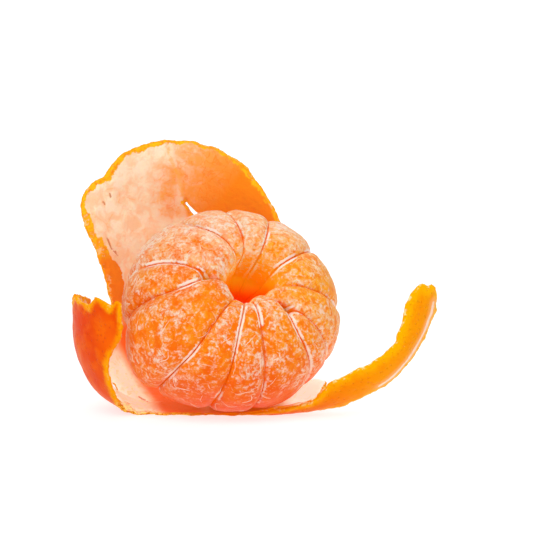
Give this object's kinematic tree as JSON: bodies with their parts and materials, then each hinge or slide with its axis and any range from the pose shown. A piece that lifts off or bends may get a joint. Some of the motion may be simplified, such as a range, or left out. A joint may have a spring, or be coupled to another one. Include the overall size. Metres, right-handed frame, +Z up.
{
  "type": "peeled mandarin in its opened peel",
  "caption": "Peeled mandarin with loose segments round an open core, resting tilted in its own torn peel with a tall back flap and a curled strip.",
  "frame": {"origin": "middle of the flat spot under the peel, on the table", "axes": "+Z up, -Y the front that the open end of the fruit's core leans to, +X towards the curled strip of peel"},
  "size_m": [0.1007, 0.0689, 0.0736],
  "materials": {
    "segment_flesh": "satin moist flesh under a thin skin with white pith fibres",
    "mandarin_peel": "waxy orange skin with fine pores outside, pale spongy pith inside"
  },
  "bodies": {
    "root": {"segment_01": "segment_flesh", "segment_02": "segment_flesh", "segment_03": "segment_flesh", "segment_04": "segment_flesh", "segment_05": "segment_flesh", "segment_06": "segment_flesh", "segment_07": "segment_flesh", "segment_08": "segment_flesh", "segment_09": "segment_flesh", "segment_10": "segment_flesh", "segment_11": "segment_flesh", "segment_12": "segment_flesh", "peel": "mandarin_peel"}
  },
  "joints": []
}
